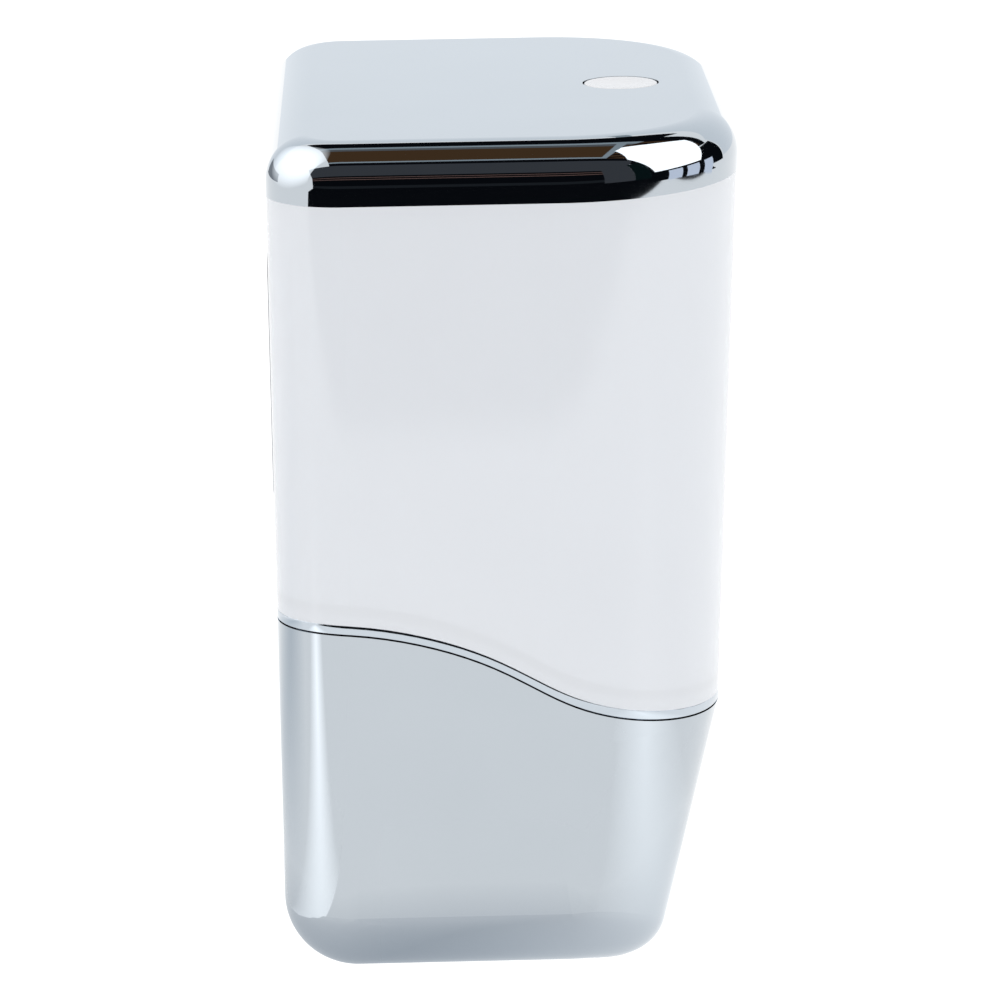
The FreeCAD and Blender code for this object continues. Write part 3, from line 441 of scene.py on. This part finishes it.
# %% Milky tank
milk = Finish("milky_tank", IOR=1.49, Transmission_Weight=0.27)
cloud = milk.noise(24.0, 3.0)
milk.drive(Base_Color=milk.blend(cloud, (0.800, 0.826, 0.868, 1), (0.820, 0.846, 0.888, 1)),
           Roughness=cloud * 0.03 + 0.07,
           Normal=milk.bump(milk.noise(40.0, 1.0), 3e-6))


# %% [markdown]
# ### Moulded plastics
# Mouldings differ in colour, gloss and the grain of the tool that made them, so one function makes
# them all from those three. The grain is a fine bump, and the colour wanders a little with it.

# %% Moulded plastics
def moulding(name, colour, gloss, grain=5000.0, depth=1.2e-5, **constants):
    """A plastic from its colour, its roughness, and the scale and depth of its grain."""
    made = Finish(name, **constants)
    flow = made.noise(90.0, 3.0)
    pits = made.noise(grain, 2.0)
    shade = [value * 0.90 for value in colour]
    made.drive(Base_Color=made.blend(flow, (*shade, 1), (*colour, 1)),
               Roughness=pits * 0.12 + (gloss - 0.06),
               Normal=made.bump(pits, depth))
    return made


button_white = moulding("white_button", (0.70, 0.70, 0.715), 0.22, 9000.0, 3e-6)
grey_moulding = moulding("grey_moulding", (0.27, 0.285, 0.31), 0.48)
door_moulding = moulding("door_moulding", (0.34, 0.36, 0.39), 0.46, 4200.0, 1.6e-5)
pump_moulding = moulding("pump_moulding", (0.70, 0.70, 0.655), 0.34, 7000.0, 6e-6)
strainer_plastic = moulding("strainer_plastic", (0.80, 0.82, 0.84), 0.36)
dark_moulding = moulding("dark_moulding", (0.016, 0.016, 0.018), 0.42)
silicone = moulding("soft_silicone", (0.58, 0.61, 0.63), 0.40, 3500.0, 8e-6, Transmission_Weight=0.30,
                    IOR=1.41)
dark_lens = moulding("dark_lens", (0.012, 0.006, 0.012), 0.10, 9000.0, 1e-6, Coat_Weight=0.5)
diode_lens = moulding("diode_lens", (0.16, 0.18, 0.30), 0.12, 9000.0, 1e-6, Transmission_Weight=0.4)
print("plastics ready")


# %% [markdown]
# ### Metals
# Pins are ground, screws turned and plated, springs drawn, and the bracket is zinc coated sheet whose
# crystals show as spangle. A metal finish is its colour, its roughness, and lines stretched the way
# the tool went; the bracket's spangle comes from Voronoi cells instead.

# %% Metals
def metal(name, colour, rough, scale, stretch, depth):
    """A metal whose fine lines are noise stretched along the tool's path."""
    made = Finish(name, Metallic=1.0)
    lines = made.noise(scale, 3.0, stretch)
    tarnish = made.noise(140.0, 3.0)
    shade = [value * 0.82 for value in colour]
    made.drive(Base_Color=made.blend(tarnish, (*shade, 1), (*colour, 1)),
               Roughness=lines * 0.16 + (rough - 0.08),
               Normal=made.bump(lines, depth))
    return made


screw_steel = metal("screw_steel", (0.60, 0.61, 0.62), 0.33, 2600.0, (1, 1, 1), 5e-6)
pin_steel = metal("pin_steel", (0.66, 0.67, 0.68), 0.20, 1500.0, (0.3, 0.3, 6), 2e-6)
spring_steel = metal("spring_steel", (0.57, 0.57, 0.58), 0.24, 3000.0, (1, 1, 4), 2e-6)
brass = metal("pinion_brass", (0.66, 0.46, 0.17), 0.28, 2200.0, (1, 1, 0.2), 3e-6)
nickel = metal("contact_metal", (0.68, 0.66, 0.61), 0.25, 1600.0, (5, 0.4, 1), 3e-6)
bracket_steel = Finish("bracket_steel", Metallic=1.0)
cells = bracket_steel.node("ShaderNodeTexVoronoi", Vector=bracket_steel.place(), Scale=170.0)
spangle = bracket_steel.node("ShaderNodeTexVoronoi", out=1, Vector=bracket_steel.place(), Scale=170.0)
facet = bracket_steel.node("ShaderNodeSeparateColor", Color=spangle)
bracket_steel.drive(Base_Color=bracket_steel.blend(facet, (0.44, 0.46, 0.49, 1), (0.60, 0.62, 0.64, 1)),
                    Roughness=facet * 0.16 + 0.28,
                    Normal=bracket_steel.bump(cells, 1e-5))
print("metals ready")

# %% [markdown]
# ### Parts of two finishes
# The motor, the cells and the boards are each one part of several materials. Height or distance
# from the board's face says where one ends: a comparison gives a mask of 0 and 1, which mixes the
# colours and the metallic value.

# %% Motor, cells and boards
CAN_FOOT = 9.3                      # heights over the foot of the base, in millimetres
CELL_BODY = (6.1, 54.4)
CELL_BAND = (40.0, 52.0)
FITTED = (9.5, 43.5)
CAPACITORS = 35.0
PLUG = (28.5, 33.5)
BOARD_FACE = -32.95 * MM            # the components stand out from the board past this plane
PLUG_FRONT = -57.5 * MM


def height_of(over_base):
    """A height over the foot of the base, in the row frame."""
    return FLOOR + over_base * MM


motor_can = Finish("motor_can")
z = motor_can.place("z")
can = z.above(height_of(CAN_FOOT))
roll = motor_can.noise(900.0, 3.0, (1, 1, 9))
motor_can.drive(Base_Color=motor_can.blend(can, (0.02, 0.02, 0.022, 1), (0.58, 0.59, 0.60, 1)),
                Metallic=can, Roughness=roll * 0.14 + 0.24, Normal=motor_can.bump(roll, 4e-6))

jacket = Finish("cell_jacket")
z = jacket.place("z")
ends = z.above(height_of(CELL_BODY[1])) + z.below(height_of(CELL_BODY[0]))
band = z.above(height_of(CELL_BAND[0])) * z.below(height_of(CELL_BAND[1]))
print_grain = jacket.noise(2500.0, 2.0)
wrap = jacket.blend(band, (0.030, 0.045, 0.075, 1), (0.36, 0.38, 0.40, 1))
jacket.drive(Base_Color=jacket.blend(ends, wrap, (0.62, 0.60, 0.57, 1)), Metallic=ends,
             Roughness=print_grain * 0.10 + 0.24)

board = Finish("board_green")
x = board.place("x")
y = board.place("y")
z = board.place("z")
fitted = x.above(BOARD_FACE) * z.above(height_of(FITTED[0])) * z.below(height_of(FITTED[1]))
caps = fitted * z.above(height_of(CAPACITORS))
plug = fitted * z.above(height_of(PLUG[0])) * z.below(height_of(PLUG[1])) * y.below(PLUG_FRONT)
tracks = board.node("ShaderNodeTexBrick", {"offset": 0.37, "squash": 1.6}, out=1, Vector=board.place(),
                    Scale=420.0, Mortar_Size=0.035, Mortar_Smooth=0.3)
mask_green = board.blend(tracks, (0.010, 0.105, 0.042, 1), (0.030, 0.190, 0.075, 1))
parts = board.blend(plug, board.blend(caps, (0.018, 0.018, 0.020, 1), (0.42, 0.44, 0.47, 1)),
                    (0.66, 0.65, 0.58, 1))
board.drive(Base_Color=board.blend(fitted, mask_green, parts), Metallic=caps * 0.8,
            Roughness=board.noise(3000.0) * 0.12 + 0.30, Normal=board.bump(tracks, 2e-5))
print("mixed parts ready")

# %% [markdown]
# ### Every part gets its finish
# The record names a material slot for each part. One table turns slots into finishes, so a part can't
# be missed: an unknown slot stops the script.

# %% Assign the finishes
FINISHES = {made.material.name: made.material for made in (
    plating, trim, milk, button_white, grey_moulding, door_moulding, pump_moulding, strainer_plastic,
    dark_moulding, silicone, dark_lens, diode_lens, screw_steel, pin_steel, spring_steel, brass, nickel,
    bracket_steel, motor_can, jacket, board)}
SLOT_OF = {part["node"]: part["material_slot"] for part in frame["record"]["subparts"]}
for name, node in NODES.items():
    node.data.materials.clear()
    node.data.materials.append(FINISHES[SLOT_OF[name]])
print("finishes", len(FINISHES), "on", len(NODES), "nodes")

# %% [markdown]
# ## Pieces made over the CAD parts
# Most CAD parts already have their true shape. A few need edges or details that only matter to the
# eye. Each of these starts from a merged copy of the CAD mesh, so that it fits, or from a primitive
# shaped by operators, and then stands for the CAD node.

# %% Helpers for pieces
def only(piece):
    """Select one object alone and make it active."""
    bpy.ops.object.select_all(action="DESELECT")
    piece.select_set(True)
    bpy.context.view_layer.objects.active = piece


def merged_copy(node, name):
    """A copy of a CAD node as one welded surface, free of the frame."""
    only(NODES[node])
    bpy.ops.object.duplicate()
    piece = bpy.context.object
    piece.name = name
    piece.parent = None
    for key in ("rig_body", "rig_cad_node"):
        del piece[key]
    bpy.ops.mesh.customdata_custom_splitnormals_clear()
    bpy.ops.object.mode_set(mode="EDIT")
    bpy.ops.mesh.select_all(action="SELECT")
    bpy.ops.mesh.remove_doubles(threshold=2e-6)
    bpy.ops.mesh.dissolve_degenerate(threshold=1e-6)
    bpy.ops.object.mode_set(mode="OBJECT")
    return piece


def rim_edges(piece, chosen):
    """Select the sharp edges whose two faces and middle a test accepts; returns how many."""
    mesh = piece.data
    sides = {}
    for face in mesh.polygons:
        for key in face.edge_keys:
            sides.setdefault(key, []).append(face.normal)
    bpy.ops.object.mode_set(mode="EDIT")
    bpy.ops.mesh.select_mode(type="EDGE")
    bpy.ops.mesh.select_all(action="DESELECT")
    bpy.ops.object.mode_set(mode="OBJECT")
    count = 0
    for edge in mesh.edges:
        normals = sides.get(tuple(sorted(edge.vertices)), [])
        middle = (mesh.vertices[edge.vertices[0]].co + mesh.vertices[edge.vertices[1]].co) / 2
        if len(normals) == 2 and normals[0].dot(normals[1]) < 0.6 and chosen(normals, middle):
            edge.select = True
            count += 1
    return count


def round_selected(piece, radius):
    """Bevel the selected edges and smooth the shading."""
    only(piece)
    bpy.ops.object.mode_set(mode="EDIT")
    bpy.ops.mesh.bevel(offset=radius, segments=3, profile=0.5, affect="EDGES", clamp_overlap=True)
    bpy.ops.object.mode_set(mode="OBJECT")
    bpy.ops.object.shade_smooth_by_angle(angle=0.6)


def on_skin(normals, middle):
    """An edge of the outer skin: one of its faces looks outward and away from the middle plane."""
    away = Vector((middle.x, middle.y - MIDDLE.y, 0)).normalized()
    upright = [n for n in normals if abs(n.z) < 0.5]
    return any(n.dot(away) > 0.35 for n in upright)


def joined(pieces, name):
    """Join pieces into one, with its place in its mesh."""
    bpy.ops.object.select_all(action="DESELECT")
    for piece in pieces:
        piece.select_set(True)
    bpy.context.view_layer.objects.active = pieces[0]
    bpy.ops.object.join()
    whole = bpy.context.object
    whole.name = name
    bpy.ops.object.transform_apply(location=True, rotation=True, scale=True)
    return whole


def coat(piece, finish):
    """Give a piece one finish."""
    piece.data.materials.clear()
    piece.data.materials.append(finish.material)


print("piece helpers ready")


# %% [markdown]
# ### Plated lid
# A mirror shows every facet, and the CAD mesh has long thin triangles round the lid's edge. So the
# lid is modelled again as an even grid: a box whose front leans out a little, then the upright
# corners are bevelled to their plan radii, then the top edge. A smaller box of the same kind is cut
# out of it, and the button's hole and the screw posts follow. Weighted normals keep the flats flat.

# %% Rounded cap
JOINT = lid_low.z
LID_TOP = lid_high.z
BACK = lid_high.y
FRONT_JOINT = -96.0 * MM
FRONT_LEAN = 4.1 / 111.8            # how far the front leans out for each unit of height
BACK_RADIUS = 15.2 * MM
FRONT_RADIUS = 37.6 * MM
TOP_RADIUS = 8.8 * MM
LID_WALL = 2.0 * MM
BUTTON_HOLE = 8.0 * MM
UPRIGHT = 5 * MM                    # an edge that climbs more than this is an upright corner
SCREW_POSTS = ((52, 18, 2.5, 3.5), (44, 62, 2.5, 3.5), (15, 70, 4.5, 2.4), (15, 82, 4.5, 2.4))


def bevel_where(piece, chosen, radius, segments):
    """Bevel the edges whose two ends a test accepts."""
    mesh = piece.data
    ends = [vertex.co.copy() for vertex in mesh.vertices]
    picked = [edge.index for edge in mesh.edges if chosen(ends[edge.vertices[0]], ends[edge.vertices[1]])]
    only(piece)
    bpy.ops.object.mode_set(mode="EDIT")
    bpy.ops.mesh.select_mode(type="EDGE")
    bpy.ops.mesh.select_all(action="DESELECT")
    bpy.ops.object.mode_set(mode="OBJECT")
    for index in picked:
        mesh.edges[index].select = True
    bpy.ops.object.mode_set(mode="EDIT")
    bpy.ops.mesh.bevel(offset=radius, segments=segments, profile=0.5, affect="EDGES", clamp_overlap=False)
    bpy.ops.object.mode_set(mode="OBJECT")


def rounded_cap(name, inset, low, high):
    """The lid's outer form, drawn in by an inset, between two heights."""
    front = FRONT_JOINT + inset
    back = BACK - inset
    middle = (front + back) / 2
    bpy.ops.object.select_all(action="DESELECT")
    bpy.ops.mesh.primitive_cube_add(size=1, location=(0, middle, (low + high) / 2))
    cap = bpy.context.object
    cap.name = name
    cap.scale = (2 * (HALF - inset), back - front, high - low)
    bpy.ops.object.transform_apply(location=True, rotation=True, scale=True)
    for vertex in cap.data.vertices:
        if vertex.co.y < middle:
            vertex.co.y -= FRONT_LEAN * (vertex.co.z - JOINT)
    bevel_where(cap, lambda a, b: abs(a.z - b.z) > UPRIGHT and a.y > middle and b.y > middle,
                BACK_RADIUS - inset, 22)
    bevel_where(cap, lambda a, b: abs(a.z - b.z) > UPRIGHT and a.y < middle and b.y < middle
                and abs(a.x) > HALF - inset - 1 * MM, FRONT_RADIUS - inset, 40)
    bevel_where(cap, lambda a, b: min(a.z, b.z) > high - 0.01 * MM, TOP_RADIUS - inset, 18)
    return cap


def combine(piece, tool, operation):
    """Apply a Boolean of a tool and remove the tool."""
    only(piece)
    cut = piece.modifiers.new("cut", "BOOLEAN")
    cut.operation = operation
    cut.solver = "EXACT"
    cut.object = tool
    bpy.ops.object.modifier_apply(modifier="cut")
    bpy.data.objects.remove(tool)


print("cap helpers ready")

# %% [markdown]
# The lid's screw posts are written as (across, depth, foot over the joint, radius) in millimetres,
# for one side. They end in the ceiling's thickness, so the union leaves no seam.

# %% Plated lid
plated_lid = rounded_cap("plated_lid", 0.0, JOINT, LID_TOP)
cavity = rounded_cap("cavity", LID_WALL, JOINT - 1 * MM, LID_TOP - LID_WALL)
combine(plated_lid, cavity, "DIFFERENCE")
button_low, button_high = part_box("lid_button")
BUTTON_Y = (button_low.y + button_high.y) / 2
bpy.ops.object.select_all(action="DESELECT")
bpy.ops.mesh.primitive_cylinder_add(vertices=96, radius=BUTTON_HOLE, depth=20 * MM,
                                    location=(0, BUTTON_Y, LID_TOP))
combine(plated_lid, bpy.context.object, "DIFFERENCE")
posts = []
for x, depth, low, radius in SCREW_POSTS:
    foot = JOINT + low * MM
    tall = LID_TOP - LID_WALL / 2 - foot
    for side in (-1, 1):
        bpy.ops.object.select_all(action="DESELECT")
        bpy.ops.mesh.primitive_cylinder_add(vertices=32, radius=radius * MM, depth=tall,
                                            location=(side * x * MM, -depth * MM, foot + tall / 2))
        posts.append(bpy.context.object)
combine(plated_lid, joined(posts, "posts"), "UNION")
only(plated_lid)
bpy.ops.object.shade_smooth_by_angle(angle=0.6)
weigh = plated_lid.modifiers.new("weigh", "WEIGHTED_NORMAL")
weigh.keep_sharp = True
weigh.weight = 100
bpy.ops.object.modifier_apply(modifier="weigh")
coat(plated_lid, plating)
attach(plated_lid, "lid")
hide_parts("lid_shell")
print("plated lid", len(plated_lid.data.polygons), "faces")

# %% [markdown]
# ### Trim ring
# The real ring is a plated strip with rolled edges, and each edge draws a fine line of light. The
# copy's outer edges are picked by the way their faces look and bevelled.

# %% Trim ring
ROLLED_EDGE = 0.45 * MM
trim_ring = merged_copy("tank_trim_ring", "rolled_trim_ring")
picked = rim_edges(trim_ring, on_skin)
round_selected(trim_ring, ROLLED_EDGE)
coat(trim_ring, trim)
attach(trim_ring, "dispenser")
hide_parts("tank_trim_ring")
print("trim ring", picked, "edges,", len(trim_ring.data.polygons), "faces")

# %% [markdown]
# ### Door springs
# Under each cell sits a cone of spring wire on a nickel strip. A small circle of wire is swept into a
# coil by the Screw modifier, drawn to a cone by Simple Deform, and copied for the four cells. The
# strip is a cube with its corners rounded off, so strip and coils read as pressed and wound parts.

# %% Wound coil
contact_low, contact_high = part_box("door_contacts")
WIRE = 0.32 * MM
STRIP = 0.5 * MM
COIL_RADIUS = 3.4 * MM
COIL_PLACES = (-22.5, -7.5, 7.5, 22.5)      # across, in millimetres
strip_top = contact_low.z + STRIP
contact_y = (contact_low.y + contact_high.y) / 2
rise = contact_high.z - strip_top - 2 * WIRE
TURNS = 4
bpy.ops.object.select_all(action="DESELECT")
bpy.ops.mesh.primitive_circle_add(vertices=10, radius=WIRE, location=(0, 0, 0))
spring = bpy.context.object
spring.name = "door_spring_0"
bpy.ops.object.mode_set(mode="EDIT")
bpy.ops.transform.rotate(value=math.pi / 2, orient_axis="X", center_override=(0, 0, 0))
bpy.ops.transform.translate(value=(COIL_RADIUS, 0, 0))
bpy.ops.object.mode_set(mode="OBJECT")
wind = spring.modifiers.new("wind", "SCREW")
wind.angle = 2 * math.pi
wind.screw_offset = rise / TURNS
wind.iterations = TURNS
wind.steps = 28
wind.render_steps = 28
wind.use_normal_calculate = True
bpy.ops.object.modifier_apply(modifier="wind")
draw_in = spring.modifiers.new("draw_in", "SIMPLE_DEFORM")
draw_in.deform_method = "TAPER"
draw_in.factor = -0.5
draw_in.deform_axis = "Z"
bpy.ops.object.modifier_apply(modifier="draw_in")
bpy.ops.object.mode_set(mode="EDIT")
bpy.ops.mesh.select_all(action="SELECT")
bpy.ops.mesh.remove_doubles(threshold=1e-6)
bpy.ops.mesh.select_all(action="DESELECT")
bpy.ops.mesh.select_non_manifold()
bpy.ops.mesh.fill()
bpy.ops.mesh.select_all(action="SELECT")
bpy.ops.mesh.normals_make_consistent(inside=False)
bpy.ops.object.mode_set(mode="OBJECT")
lowest = min(v.co.z for v in spring.data.vertices)
coils = []
for number, x in enumerate(COIL_PLACES):
    only(spring)
    bpy.ops.object.duplicate()
    coil = bpy.context.object
    coil.name = f"door_coil_{number}"
    coil.location = (x * MM, contact_y, strip_top - lowest)
    coils.append(coil)
bpy.data.objects.remove(spring)
print("coils", len(coils), "of", len(coils[0].data.polygons), "faces")

# %% [markdown]
# Each strip carries two coils. Its upright corners are rounded off, as a press tool leaves them.

# %% Strips and door springs
STRIP_LENGTH = 24 * MM
STRIP_PLACE = 15 * MM
STRIP_CORNER = 1.8 * MM
strips = []
for side in (-1, 1):
    bpy.ops.object.select_all(action="DESELECT")
    bpy.ops.mesh.primitive_cube_add(size=1, location=(side * STRIP_PLACE, contact_y,
                                                      contact_low.z + STRIP / 2))
    strip = bpy.context.object
    strip.scale = (STRIP_LENGTH, contact_high.y - contact_low.y, STRIP)
    bpy.ops.object.transform_apply(location=False, rotation=False, scale=True)
    bevel_where(strip, lambda a, b: abs(a.z - b.z) > STRIP / 2, STRIP_CORNER, 5)
    strips.append(strip)
door_springs = joined(coils + strips, "door_springs")
bpy.ops.object.shade_smooth_by_angle(angle=0.7)
coat(door_springs, nickel)
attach(door_springs, "battery_door")
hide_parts("door_contacts")
print("door springs", len(door_springs.data.polygons), "faces")
